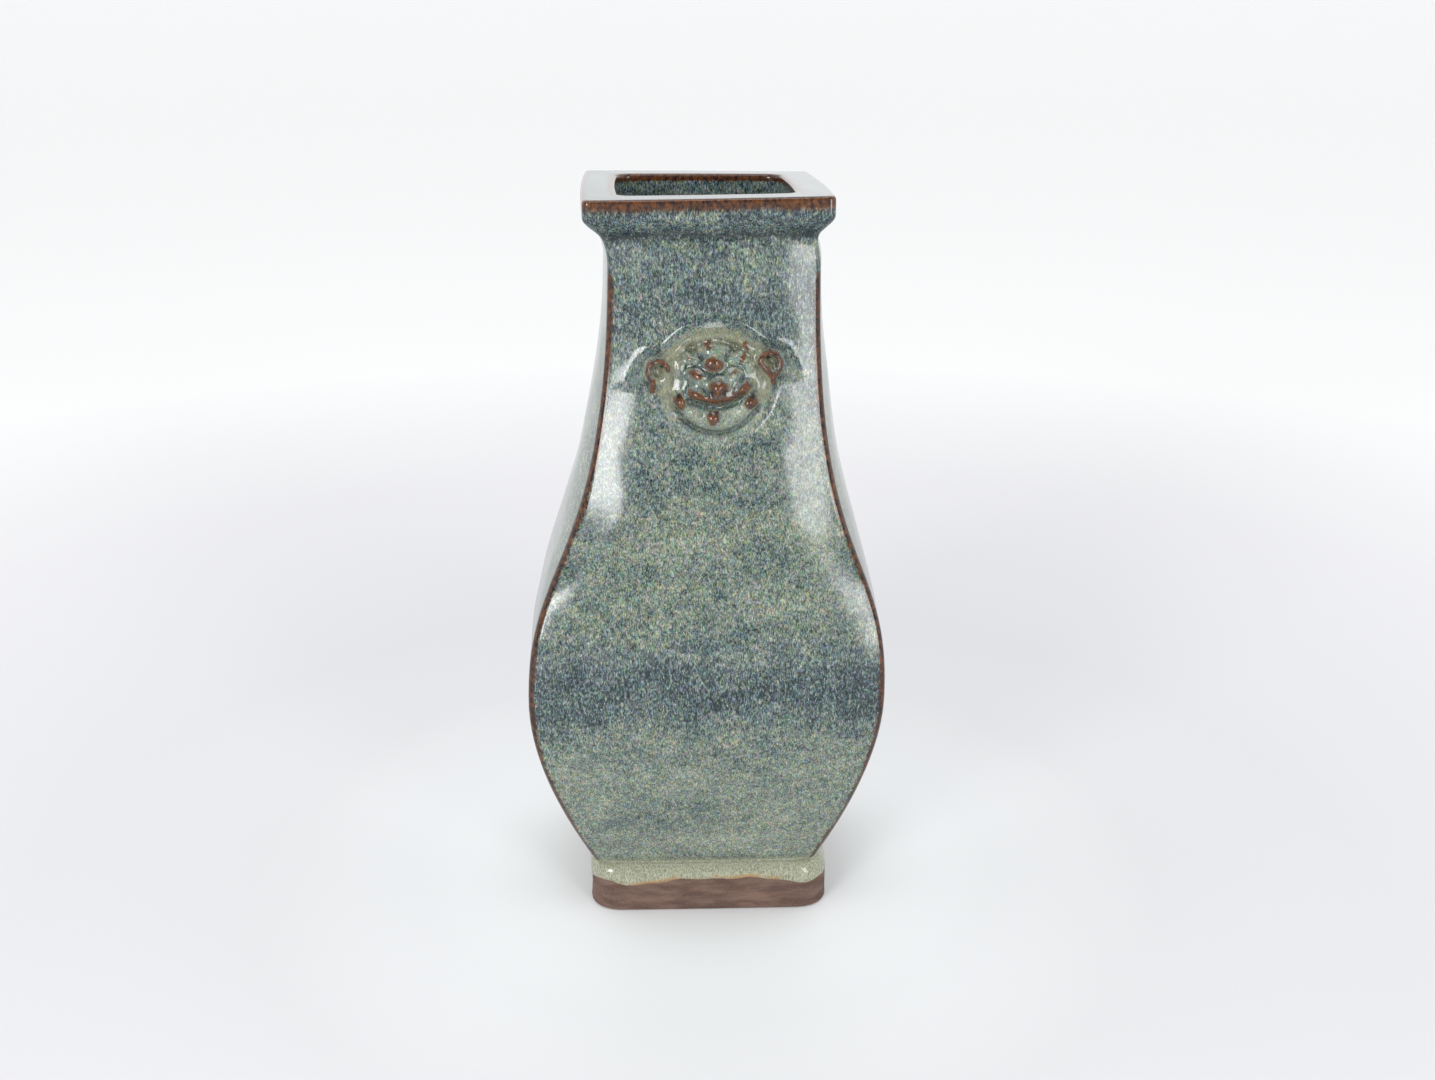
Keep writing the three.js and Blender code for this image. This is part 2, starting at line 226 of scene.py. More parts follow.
def add_softbox(name, azimuth, elevation, distance, width, height, power):
    """A rectangular lamp on a sphere round the pot, facing it. Azimuth 0 is on the camera's side."""
    turn, rise = np.radians((azimuth, elevation))
    away = np.array([np.sin(turn) * np.cos(rise), -np.cos(turn) * np.cos(rise), np.sin(rise)])
    lamp = bpy.data.lights.new(name, "AREA")
    lamp.shape = "RECTANGLE"
    lamp.size = width
    lamp.size_y = height
    lamp.energy = power
    holder = bpy.data.objects.new(name, lamp)
    holder.location = LIGHT_TARGET + distance * away
    holder.rotation_euler = (np.pi / 2 - rise, 0, turn)
    bpy.context.scene.collection.objects.link(holder)


for box_name, box in SOFTBOXES.items():
    add_softbox(box_name, **box)

world = bpy.data.worlds.new("white room")
world.use_nodes = True
bpy.context.scene.world = world
sky = world.node_tree
direction = sky.nodes.new("ShaderNodeTexCoord").outputs["Generated"]
backward = link_node(sky, "ShaderNodeSeparateXYZ", {0: direction}).outputs["Y"]
glow = link_node(sky, "ShaderNodeMapRange", {
    "Value": backward,
    "From Min": ROOM_TURN[0],
    "From Max": ROOM_TURN[1],
    "To Min": ROOM_DIM,
    "To Max": ROOM_BRIGHT,
}, interpolation_type="SMOOTHSTEP")
sky.links.new(glow.outputs["Result"], sky.nodes["Background"].inputs["Strength"])
sky.nodes["Background"].inputs["Color"].default_value = ROOM_COLOUR
print(len(SOFTBOXES), "softboxes")

# %% [markdown]
# ## Levels
# Seen from the side the pot is one outline: foot, waist, belly, neck, lip, then down the inside to the floor.
# Each level of that outline is a bowed square with round corners, so a level is five numbers.
# They are its half width, its height, how far its sides and its front bow out, and its corner radius.

# %% Level functions
FOOT_HALF = 50.4
FOOT_CORNER = 12
FOOT_SHOULDER_CORNER = 11
FOOT_SIDE_TOP = 14.5
FOOT_SHOULDER_TOP = 21.7
FOOT_EDGE = 1.6
FOOT_RING = 9
RECESS_DEPTH = 8
RECESS_CORNER = 8
RECESS_ROUND = 2.5
RECESS_FLAT = 38
# The inner edge of the ring the pot stands on: how far out from the recess, and how high.
RING_TURN = ((0.6, 1.2), (0.8, 0), (2.2, 0))
FOOT_BOW = 0.6
FOOT_SIDE_FROM_Z = 3
WAIST_HALF = 46.9
WAIST_Z = 22.5
BELLY_HALF = 70.4
BELLY_Z = 106.5
NECK_HALF = 40.2
NECK_Z = 281
BODY_CORNER = 2.4
# How far the outline is pulled towards each side of its three turns.
WAIST_PULL_OUT = 7.6
WAIST_PULL_UP = 16.7
BELLY_PULL_DOWN = 28.5
BELLY_PULL_UP = 66
NECK_PULL_DOWN = 132
# How far the middle of a side stands out, and where the shoulder's full bow begins and ends.
WAIST_BOW = 1
BELLY_BOW = 2.4
SHOULDER_BOW = 6.2
NECK_BOW = 3
LIP_BOW = 1.2
SHOULDER_RISE_Z = (138.5, 183)
SHOULDER_BOW_UNTIL_Z = 195
# How much more the front and back stand out, and between which heights it comes and goes.
FRONT_BELLY_BOW = 0.8
FRONT_BELLY_FROM_Z = (60, BELLY_Z)
FRONT_BELLY_UNTIL_Z = (140, 175)
FRONT_NECK_BOW = 1.6
FRONT_NECK_FROM_Z = (235, 272)
LIP_HALF = 47.2
LIP_BOTTOM_Z = 289.2
LIP_SLOPE = 2.5
LIP_ROUND = 2.3
LIP_BAND_FROM_Z = 293
LIP_EDGE = 1.5
HEIGHT = 300
MOUTH_HALF = 33.4
MOUTH_CORNER = 6
WALL = 5.6
FLOOR_Z = 16
FLOOR_ROUND = 9
INNER_CORNER = 6
MOUTH_TURN_Z = (275, 289)
MASK_Z = 231
# The kiln's warp: how far the pot stands to the right at foot, waist, neck and lip.
FOOT_LEAN = 1.2
WAIST_LEAN = -0.5
NECK_LEAN = 3.8
LIP_LEAN = 0.3
BODY_LEAN_FROM_Z = 62.5
LIP_WARP_FROM_Z = 275
# The back of the lip stands to the left of its front, and it is higher on the right, most so in front.
LIP_SKEW = 0.033
LIP_TILT = 0.003
LIP_TWIST = 0.00024


def smooth(low, high, x):
    """0 below low and 1 above high, with an even S between them."""
    share = np.clip((x - low) / (high - low), 0, 1)
    return share * share * (3 - 2 * share)


def curve(points, count):
    """A Bezier curve through its first and last points, drawn towards those between, at count even steps."""
    t = np.linspace(0, 1, count)[:, None]
    layers = [np.array(point, float) for point in points]
    while len(layers) > 1:
        layers = [a + (b - a) * t for a, b in zip(layers, layers[1:])]
    return layers[0]


def body_half(z):
    """Half width of the body at a height, read off two cubic curves that meet upright at the belly."""
    waist = (WAIST_HALF, WAIST_Z)
    belly = (BELLY_HALF, BELLY_Z)
    out_of_waist = (WAIST_HALF + WAIST_PULL_OUT, WAIST_Z + WAIST_PULL_UP)
    under_belly = (BELLY_HALF, BELLY_Z - BELLY_PULL_DOWN)
    over_belly = (BELLY_HALF, BELLY_Z + BELLY_PULL_UP)
    under_neck = (NECK_HALF, NECK_Z - NECK_PULL_DOWN)
    low = curve([waist, out_of_waist, under_belly, belly], count=200)
    high = curve([belly, over_belly, under_neck, (NECK_HALF, NECK_Z)], count=400)
    outline = np.vstack([low, high[1:]])
    return np.interp(z, outline[:, 1], outline[:, 0])


def body_bow(z):
    """How far the middle of a side stands out past its edges: most at the shoulder, least at the waist."""
    to_belly = (BELLY_BOW - WAIST_BOW) * smooth(WAIST_Z, BELLY_Z, z)
    to_shoulder = (SHOULDER_BOW - BELLY_BOW) * smooth(*SHOULDER_RISE_Z, z)
    to_neck = (NECK_BOW - SHOULDER_BOW) * smooth(SHOULDER_BOW_UNTIL_Z, NECK_Z, z)
    to_lip = (LIP_BOW - NECK_BOW) * smooth(NECK_Z, LIP_BOTTOM_Z, z)
    return WAIST_BOW + to_belly + to_shoulder + to_neck + to_lip


def front_bow(z):
    """How far the front and back stand out, a little more than the sides at belly and neck."""
    at_belly = FRONT_BELLY_BOW * smooth(*FRONT_BELLY_FROM_Z, z) * (1 - smooth(*FRONT_BELLY_UNTIL_Z, z))
    at_neck = FRONT_NECK_BOW * smooth(*FRONT_NECK_FROM_Z, z) * (1 - smooth(NECK_Z, LIP_BOTTOM_Z, z))
    return body_bow(z) + at_belly + at_neck


def lean(z):
    """How far the middle of the warped pot stands to the right at a height."""
    to_waist = (WAIST_LEAN - FOOT_LEAN) * smooth(FOOT_SIDE_TOP, WAIST_Z, z)
    to_neck = (NECK_LEAN - WAIST_LEAN) * smooth(BODY_LEAN_FROM_Z, NECK_Z, z)
    to_lip = (LIP_LEAN - NECK_LEAN) * smooth(LIP_WARP_FROM_Z, LIP_BOTTOM_Z, z)
    return FOOT_LEAN + to_waist + to_neck + to_lip


def levels(points, corner, bow=None):
    """Rows of (half, z, side bow, front bow, corner) for rows of (half, z). Left out, bow is the body's."""
    half, z = np.transpose(points)
    side_bow = body_bow(z) if bow is None else np.full(len(z), float(bow))
    facing_bow = front_bow(z) if bow is None else side_bow
    return np.column_stack([half, z, side_bow, facing_bow, np.full(len(z), float(corner))])


def upright(half, low, high, count):
    """Rows of (half, z) straight up or down between two heights."""
    return np.column_stack([np.full(count, float(half)), np.linspace(low, high, count)])


def flat(inner, outer, z, count):
    """Rows of (half, z) straight in or out between two half widths."""
    return np.column_stack([np.linspace(inner, outer, count), np.full(count, float(z))])


print("half width at belly and neck", body_half(np.array([BELLY_Z, NECK_Z])))

# %% The pot's levels, from the middle of the underside to the middle of the floor inside
# Each run of heights: its first, its last and how many. They crowd behind the masks.
BODY_RUNS = ((WAIST_Z, 30, 6), (32, 203, 46), (203, 259, 100), (259, NECK_Z, 10))
BAND_RUN = (LIP_BAND_FROM_Z + 1, 298.1, 5)
INSIDE_RUNS = ((296, 281, 5), (277, 29, 30))

ring_inside = FOOT_HALF - FOOT_RING
recess_from = (ring_inside - RECESS_ROUND, RECESS_DEPTH)
recess_to = (ring_inside, RECESS_DEPTH - RECESS_ROUND)
recess_turn = curve([recess_from, (ring_inside, RECESS_DEPTH), recess_to], count=6)
underside = np.vstack([flat(0, RECESS_FLAT, RECESS_DEPTH, 7), recess_turn[1:]])
ring_foot = curve([(ring_inside + step, z) for step, z in RING_TURN], count=5)
foot_edge = curve([(FOOT_HALF - FOOT_EDGE, 0), (FOOT_HALF, 0), (FOOT_HALF, FOOT_EDGE)], count=6)
foot_side = upright(FOOT_HALF, FOOT_SIDE_FROM_Z, FOOT_SIDE_TOP, 24)
shoulder_corner = (FOOT_HALF, FOOT_SHOULDER_TOP - FOOT_EDGE)
shoulder_top = (WAIST_HALF, FOOT_SHOULDER_TOP)
foot_shoulder = curve([(FOOT_HALF, FOOT_SIDE_TOP), shoulder_corner, shoulder_top], count=14)[1:]
heights = np.unique(np.concatenate([np.linspace(*run) for run in BODY_RUNS]))
body = np.column_stack([body_half(heights), heights])

slope_top = (LIP_HALF - LIP_ROUND, LIP_BOTTOM_Z)
slope_foot = (slope_top[0] - LIP_SLOPE, LIP_BOTTOM_Z - LIP_SLOPE)
moulding_corner = (NECK_HALF, slope_foot[1] - (slope_foot[0] - NECK_HALF))
moulding = curve([(NECK_HALF, NECK_Z), moulding_corner, slope_foot], count=10)[1:]
band_corner = (LIP_HALF, LIP_BOTTOM_Z + LIP_ROUND)
band_round = curve([slope_top, band_corner, (LIP_HALF, LIP_BAND_FROM_Z)], count=8)
band = upright(LIP_HALF, *BAND_RUN)
lip_edge = curve([(LIP_HALF, HEIGHT - LIP_EDGE), (LIP_HALF, HEIGHT), (LIP_HALF - LIP_EDGE, HEIGHT)], count=7)
rim_top = flat(LIP_HALF - LIP_EDGE, MOUTH_HALF + LIP_EDGE, HEIGHT, 9)[1:-1]
mouth_to = (MOUTH_HALF, HEIGHT - LIP_EDGE)
mouth_edge = curve([(MOUTH_HALF + LIP_EDGE, HEIGHT), (MOUTH_HALF, HEIGHT), mouth_to], count=7)

inside_heights = np.concatenate([np.linspace(*run) for run in INSIDE_RUNS])
neck_share = 1 - smooth(*MOUTH_TURN_Z, inside_heights)
inside_half = MOUTH_HALF + (body_half(inside_heights) - WALL - MOUTH_HALF) * neck_share
inside = np.column_stack([inside_half, inside_heights])
floor_half = WAIST_HALF - WALL
floor_from = (floor_half, FLOOR_Z + FLOOR_ROUND)
floor_to = (floor_half - FLOOR_ROUND, FLOOR_Z)
floor_turn = curve([floor_from, (floor_half, FLOOR_Z), floor_to], count=7)
floor_flat = flat(floor_half - FLOOR_ROUND, 0, FLOOR_Z, 7)[1:]

parts = {
    "underside": levels(np.vstack([underside, ring_foot]), RECESS_CORNER, bow=0),
    "foot": levels(np.vstack([foot_edge, foot_side]), FOOT_CORNER, bow=FOOT_BOW),
    "foot shoulder": levels(foot_shoulder, FOOT_SHOULDER_CORNER, bow=FOOT_BOW),
    "body": levels(body, BODY_CORNER),
    "moulding": levels(moulding, BODY_CORNER),
    "lip": levels(np.vstack([band_round, band, lip_edge, rim_top]), BODY_CORNER, bow=LIP_BOW),
    "mouth": levels(mouth_edge, MOUTH_CORNER, bow=LIP_BOW),
    "inside": levels(np.vstack([inside, floor_turn, floor_flat]), INNER_CORNER),
}
LEVELS = np.vstack(list(parts.values()))
LEVEL_PART = np.repeat(np.arange(len(parts)), [len(rows) for rows in parts.values()])
PART = {name: number for number, name in enumerate(parts)}
print(len(LEVELS), "levels")

# %% [markdown]
# ## Columns
# Round the pot each level is walked in columns. The front and the back, which carry the masks, have the most.
# Columns crowd towards the corners, so that the brown line on each edge stays crisp.

# %% Column functions
# The front, the right side, the back and the left side: how many columns, and how far they are even.
SIDE_COLUMNS = (144, 22, 96, 22)
EVEN_REACH = (0.86, 0.7, 0.86, 0.7)
END_COLUMNS = 6
END_CROWDING = 1.6
CORNER_COLUMNS = 6
FRONT_FLATNESS = 2.0
FRONT_FLAT_Z = (150, 215)
TINY = 1e-9


def side_steps(count, even_reach):
    """Places from -1 to 1 across a side, even in the middle and ever closer towards both ends."""
    middle = np.linspace(-even_reach, even_reach, count - 2 * END_COLUMNS + 1)
    left = 1 - np.arange(1, END_COLUMNS + 1) / END_COLUMNS
    end = even_reach + (1 - even_reach) * (1 - left**END_CROWDING)
    return np.concatenate([-end[::-1], middle, end])


def all_columns():
    """Arrays of (side, place across it, turn of its corner) for every column, from the front's left."""
    corner = np.linspace(-np.pi / 2, 0, CORNER_COLUMNS + 1)[1:-1]
    columns = []
    for side in range(4):
        across = side_steps(SIDE_COLUMNS[side], EVEN_REACH[side])
        columns += [(side, place, -np.pi / 2) for place in across]
        columns += [(side, 1.0, turn) for turn in corner]
    return np.array(columns).T


def along_and_out(level_rows, columns):
    """Each point of the bowed squares in its own side's frame: how far along the side, and how far out.

    On a side, out = half + bow * (1 - (along / half)^2). On a corner the point runs round a quarter circle
    that takes up from where the side ends. Low down the front and back are flatter in their middle.
    """
    half, level, side_bow, facing_bow, corner = (level_rows[:, i, None] for i in range(5))
    side, place, turn = columns
    faces = side % 2 == 0
    flatness = faces * FRONT_FLATNESS * (1 - smooth(*FRONT_FLAT_Z, level))
    bow = np.where(faces, facing_bow, side_bow) * (half > 0)
    width = np.maximum(half, TINY)
    reach = np.maximum(half - corner, 0)
    along = reach * place
    end_bow = bow * (1 - (reach / width) ** 2)
    radius = half - reach + end_bow
    rise = bow * (1 - (np.abs(along) / width) ** (2 + flatness)) - end_bow
    return along + radius * np.cos(turn), reach + rise - radius * np.sin(turn)


print(len(all_columns()[0]), "columns")

# %% [markdown]
# ## The lion mask
# A mask is a round head between two curled ears, pressed in a mould and luted on.
# It is drawn in its own plane, u to the right and v up from its centre, as heights in millimetres.
# A dome gives the head its body. Lumps and ridges are added for brows, eyes, nose, lip, fangs and tongue.
# The glaze then softens every form, which is a small blur of the heights.

# %% Mask sizes
HEAD_AT = (0.6, -0.4)
HEAD_RADIUS = 23.6
PLAQUE_RISE = 2.9
PLAQUE_SLOPE = (-1.0, 7.5)
FACE_AT = (0.8, -0.6)
FACE_HALF = (17.2, 17.0)
FACE_RISE = 2.4
PLAQUE_FULL = 4.0
# Each ear sinks into the wall between two distances from the middle, and loses a share of its height.
TIP_FADE = (25.0, 38.0, 0.75)
EARS = {"left": (-21.0, 4.4), "right": (21.4, 7.0)}
# The four soft-cornered sides of an ear: the way each one faces in degrees, and how far out it is.
EAR_SIDES = ((90, 8.6), (33, 10.2), (-90, 7.6), (180, 9.5))
EAR_SHARPNESS = 7
EAR_SIZE = 9.0
JOIN = 2.6

# Each lump: centre, half sizes, tilt in degrees, height, and how thin and brown the glaze is on its top.
LUMPS = {
    "muzzle": ((0.8, -0.6), (10.5, 6.6), 0, 1.6, 0.0),
    "left cheek": ((-5.4, 1.0), (4.8, 3.6), 20, 1.2, 0.0),
    "right cheek": ((7.8, 0.8), (4.8, 3.4), -15, 1.0, 0.0),
    "nose": ((1.9, -1.2), (5.0, 4.6), 0, 3.2, 1.35),
    "brow knot": ((-0.3, 7.6), (6.2, 3.7), 0, 2.6, 1.3),
    "forehead": ((0.0, 12.5), (5.4, 5.4), 0, 1.2, 0.0),
    "forehead spot": ((-2.3, 15.0), (3.2, 3.2), 0, 0.9, 1.2),
    "left eye": ((-6.9, 4.2), (4.8, 2.6), -6, 2.2, 1.2),
    "right eye": ((7.4, 4.6), (4.4, 2.6), 4, 2.1, 0.75),
    "left lip end": ((-6.0, -4.4), (4.6, 2.6), -25, 1.2, 1.05),
    "right lip end": ((12.2, -1.2), (4.4, 2.5), 10, 1.7, 1.2),
    "left fang": ((-13.0, -7.2), (3.3, 4.9), 8, 2.5, 1.2),
    "right fang": ((14.6, -7.2), (4.3, 4.1), -14, 2.5, 1.2),
    "tongue": ((0.2, -12.7), (3.9, 4.4), 0, 2.5, 1.15),
    "chin left": ((-6.8, -12.2), (4.6, 3.0), -35, 0.9, 0.0),
    "chin right": ((8.0, -12.0), (4.8, 3.0), 35, 0.9, 0.0),
}

# Each stroke: points on its line, half width, height, and how thin the glaze is. Below zero it is a groove.
STROKES = {
    "left brow": (((-13.6, 5.0), (-13.0, 8.8), (-10.4, 10.8), (-7.0, 9.0)), 2.0, 1.3, 0.1),
    "right brow": (((13.8, 6.2), (12.8, 9.4), (10.0, 10.8), (6.6, 9.0)), 2.0, 1.3, 0.1),
    "right streak": (((11.9, 14.6), (12.2, 11.6), (10.4, 8.6)), 1.9, 0.7, 1.1),
    "left streak": (((-10.6, 12.0), (-10.0, 9.4)), 1.7, 0.5, 0.8),
    "left brow groove": (((-9.6, 13.6), (-4.6, 8.9)), 1.8, -1.4, -0.5),
    "right brow groove": (((8.0, 13.4), (4.6, 9.4)), 1.8, -1.4, -0.5),
    "left socket": (((-11.0, 5.2), (-7.2, 6.6), (-3.4, 5.4)), 1.1, -0.9, -0.3),
    "right socket": (((3.8, 5.8), (7.6, 7.0), (11.4, 5.8)), 1.1, -0.9, -0.3),
    "upper lip": (((-8.4, -3.4), (-4.4, -5.1), (1.6, -6.2), (7.0, -4.9), (11.0, -2.8)), 2.7, 1.8, 1.1),
    "mouth": (((-9.0, -6.4), (-4.2, -8.2), (2.0, -9.0), (8.0, -7.8), (12.0, -4.6)), 1.6, -1.9, -0.4),
    "left curl": ((
        (-17.4, 5.2), (-18.3, 7.5), (-21.0, 8.3), (-24.2, 7.2), (-25.3, 4.4),
        (-24.4, 1.6), (-22.6, -0.4), (-23.4, -3.2), (-25.6, -5.4), (-27.8, -6.0),
    ), 1.6, 2.5, 1.25),
    "right curl": ((
        (23.4, 2.4), (25.2, 4.2), (25.9, 7.0), (24.4, 10.0), (21.2, 11.3), (18.6, 10.4),
        (17.4, 8.0), (19.2, 6.0), (21.4, 4.2), (22.8, 2.0), (23.1, -0.8),
    ), 1.6, 2.4, 1.25),
    "left hollow": (((-21.4, 4.8), (-20.6, 3.0)), 2.2, -1.6, -0.5),
    "right hollow": (((21.0, 8.8), (22.6, 6.8)), 1.8, -1.8, -0.2),
}

# Each ring: centre, radius, first and last angle, half width, height, and how thin the glaze is.
RINGS = {
    "mane": (HEAD_AT, 20.0, (-5, 185), 3.8, 1.6, 0.0),
    "jaw rim": (HEAD_AT, 20.8, (195, 345), 3.0, 0.9, 0.0),
    "mane groove": ((0.3, -0.5), 16.2, (40, 140), 2.2, -1.5, -0.3),
    "jaw groove": ((1.4, -1.9), 17.8, (205, 335), 1.8, -2.2, -0.5),
}

# The arc of greener glaze round the face: centre, radius, first and last angle, half width.
OLIVE_RING = (HEAD_AT, 19.5, (-10, 200), 6.5)

# Each pit: centre, radius and depth of a small hole, also painted near black as painted shade.
PITS = {
    "left nostril": ((-0.9, -3.2), 1.5, 2.2),
    "right nostril": ((4.2, -2.6), 1.5, 2.2),
    "left tongue pit": ((-0.9, -10.9), 1.15, 1.3),
    "right tongue pit": ((1.4, -10.9), 1.15, 1.3),
    "left fang pit": ((-13.2, -4.6), 1.5, 1.2),
    "right fang pit": ((15.2, -5.0), 1.5, 1.0),
    "left ear pit": ((-19.8, 6.6), 1.2, 0.8),
    "right ear pit": ((20.6, 9.4), 1.3, 0.8),
}
print(len(LUMPS), "lumps,", len(STROKES), "strokes,", len(RINGS), "rings and", len(PITS), "pits")

# %% [markdown]
# Every form is a share of 1 in its middle that falls to 0 at its border, as a parabola does.
# That gives clay that has been pressed and glazed: rounded on top, with a soft valley beside it.

# %% Mask functions
def lump_share(u, v, at, half, tilt):
    """1 on a lump's centre, falling to 0 on its edge, an ellipse turned left by tilt degrees."""
    c, s = np.cos(np.radians(tilt)), np.sin(np.radians(tilt))
    right, up = (u - at[0]) * c + (v - at[1]) * s, (v - at[1]) * c - (u - at[0]) * s
    return np.clip(1 - (right / half[0]) ** 2 - (up / half[1]) ** 2, 0, None)


def stroke_share(u, v, points, width):
    """1 on a line through some points, falling to 0 at width from it, measured piece by piece."""
    away = np.full_like(u, np.inf)
    for start, end in zip(np.array(points), np.array(points[1:])):
        step = end - start
        along = np.clip(((u - start[0]) * step[0] + (v - start[1]) * step[1]) / (step @ step), 0, 1)
        away = np.minimum(away, np.hypot(u - start[0] - along * step[0], v - start[1] - along * step[1]))
    return np.clip(1 - (away / width) ** 2, 0, None)


def arc_points(at, radius, ends, count=24):
    """Points on an arc of a circle between two angles in degrees."""
    angles = np.radians(np.linspace(*ends, count))
    return np.column_stack([at[0] + radius * np.cos(angles), at[1] + radius * np.sin(angles)])


def plaque_depth(u, v):
    """How far a point lies inside the mask's outline: a round head and two ears, joined by fillets."""
    depth = HEAD_RADIUS - np.hypot(u - HEAD_AT[0], v - HEAD_AT[1])
    for at in EARS.values():
        out, up = np.sign(at[0]) * (u - at[0]), v - at[1]
        beyond = 0
        for facing, distance in EAR_SIDES:
            reach = out * np.cos(np.radians(facing)) + up * np.sin(np.radians(facing))
            beyond = beyond + np.clip(reach / distance, 0, None) ** EAR_SHARPNESS
        ear = EAR_SIZE * (1 - beyond ** (1 / EAR_SHARPNESS))
        depth = 0.5 * (depth + ear + np.hypot(depth - ear, JOIN))
    return depth


def mask_relief(u, v):
    """Height of the mask, thinness of glaze, painted shade in the pits, share of the plaque, share of olive
    glaze.

    The plaque rises in a soft S from its outline. A dome, lumps, strokes and rings are added to it.
    """
    depth = plaque_depth(u, v)
    near, far, lost = TIP_FADE
    height = PLAQUE_RISE * smooth(*PLAQUE_SLOPE, depth) * (1 - lost * smooth(near, far, np.abs(u)))
    height = height + FACE_RISE * np.sqrt(lump_share(u, v, FACE_AT, FACE_HALF, 0))
    thin, pit_shade = np.zeros_like(u), np.zeros_like(u)
    forms = [(lump_share(u, v, *lump[:3]), *lump[3:]) for lump in LUMPS.values()]
    forms += [(stroke_share(u, v, *stroke[:2]), *stroke[2:]) for stroke in STROKES.values()]
    forms += [(stroke_share(u, v, arc_points(*ring[:3]), ring[3]), *ring[4:]) for ring in RINGS.values()]
    for form, rise, fired in forms:
        height = height + rise * form
        thin = np.maximum(thin, fired * form) if fired > 0 else thin + fired * form
    # The pits are dug into the height, and their share is kept to paint shade into them.
    for at, radius, fall in PITS.values():
        form = lump_share(u, v, at, (radius, radius), 0)
        height = height - fall * form
        pit_shade = np.maximum(pit_shade, form)
    inside_it = depth > 0
    plaque = smooth(0, PLAQUE_FULL, depth)
    olive = stroke_share(u, v, arc_points(*OLIVE_RING[:3]), OLIVE_RING[3]) * plaque
    return [np.where(inside_it, field, 0) for field in (height, thin, pit_shade, plaque, olive)]


def soften(field, rounds):
    """A small blur along both ways of the grid, as the glaze rounds what it covers. Columns wrap round.

    In each round a value keeps a half of itself and takes a quarter of either neighbour.
    """
    for _ in range(rounds):
        field = 0.25 * np.roll(field, 1, axis=1) + 0.5 * field + 0.25 * np.roll(field, -1, axis=1)
        field[1:-1] = 0.25 * field[:-2] + 0.5 * field[1:-1] + 0.25 * field[2:]
    return field


print("the mask is", 2 * HEAD_RADIUS, "mm across its head")

# %% [markdown]
# ## The surface of the pot
# Levels and columns make one grid of points, closed round the pot, under its foot and on its floor inside.
# The sides are a little uneven, as beaten slabs are.
# The glaze stands proud of the bare clay at its lower border.

# %% Surface
# Each wave of a beaten side: its depth, its length across, its length up and its start.
UNEVEN = ((0.22, 71.0, 93.0, 0.7), (0.14, 43.0, 57.0, 2.1), (0.07, 23.0, 31.0, 4.0))
UNEVEN_TURN = 1.9
UNEVEN_FADE = 18
EDGE_POWER = 4
GLAZE_THICKNESS = 0.45
GLAZE_STEP = (-0.2, 0.9)
GLAZE_LINE = 14.3
# Each wave of the glaze's lower border: its depth, its length and its start.
GLAZE_WAVES = ((1.3, 71.0, 1.1), (0.7, 37.0, 3.9), (0.35, 15.0, 0.4))
GLAZE_TURN = 2.3
MASK_REACH = 1.2 * HEAD_RADIUS
RELIEF_BLUR = 5
THIN_BLUR = 2
PIT_SHADE_BLUR = 1
FAR = 20.0


def unevenness(along, z, side):
    """Sum of slow waves across and up a side, in millimetres. Every side has its own."""
    waves = 0
    for depth, across, up, start in UNEVEN:
        phase = start + UNEVEN_TURN * side
        wave = np.sin(2 * np.pi * along / across + phase) * np.sin(2 * np.pi * z / up + 2 * phase)
        waves = waves + depth * wave
    return waves


def glaze_line(along, side):
    """Height of the glaze's lower border, which the glaze reached as it ran down in long waves."""
    height = GLAZE_LINE
    for depth, length, start in GLAZE_WAVES:
        height = height + depth * np.sin(2 * np.pi * along / length + start + GLAZE_TURN * side)
    return height


columns = all_columns()
side, across, corner_turn = columns
along, out = along_and_out(LEVELS, columns)
z = np.repeat(LEVELS[:, 1, None], len(side), axis=1)
half = LEVELS[:, 0, None]
part = np.repeat(LEVEL_PART[:, None], len(side), axis=1)

on_body = part == PART["body"]
edge_fade = 1 - np.clip(np.abs(along) / np.maximum(half, TINY), 0, 1) ** EDGE_POWER
above_waist = smooth(WAIST_Z, WAIST_Z + UNEVEN_FADE, z)
below_neck = 1 - smooth(NECK_Z - UNEVEN_FADE, NECK_Z, z)
out = out + unevenness(along, z, side) * edge_fade * above_waist * below_neck * on_body

carries = on_body & (side % 2 == 0) & (np.abs(z - MASK_Z) < MASK_REACH)
relief, thin, pit_shade, plaque, olive = (np.zeros_like(z) for _ in range(5))
on_carried = mask_relief(along[carries], z[carries] - MASK_Z)
for field, values in zip((relief, thin, pit_shade, plaque, olive), on_carried):
    field[carries] = values
relief, thin, pit_shade = soften(relief, RELIEF_BLUR), soften(thin, THIN_BLUR), soften(pit_shade, PIT_SHADE_BLUR)
out = out + relief

on_foot = (part == PART["foot"]) | (part == PART["foot shoulder"])
above_line = np.where(on_foot, z - glaze_line(along, side), np.where(part < PART["foot"], -FAR, FAR))
bare = (1 - smooth(*GLAZE_STEP, above_line)) * (part == PART["foot"]) * (z > FOOT_EDGE)
out = out - GLAZE_THICKNESS * bare

facing = side * np.pi / 2
y = along * np.sin(facing) - out * np.cos(facing)
skew = LIP_SKEW * y * smooth(LIP_WARP_FROM_Z, LIP_BOTTOM_Z, z)
x = along * np.cos(facing) + out * np.sin(facing) + lean(z) - skew
top = z + (LIP_TILT - LIP_TWIST * y) * x * smooth(NECK_Z, HEIGHT, z)
points = np.stack([x, y, top], axis=-1)
print("grid", points.shape)

# %% Where the glaze is thin, thick or missing, and the inside's painted light
EDGE_LOSS = 3
EDGE_LOSS_Z = (268, 277)
RIM_TOP_HASTE = 2.5
MOUTH_EDGE_FROM_Z = 280
MOUTH_EDGE_START = 1.5
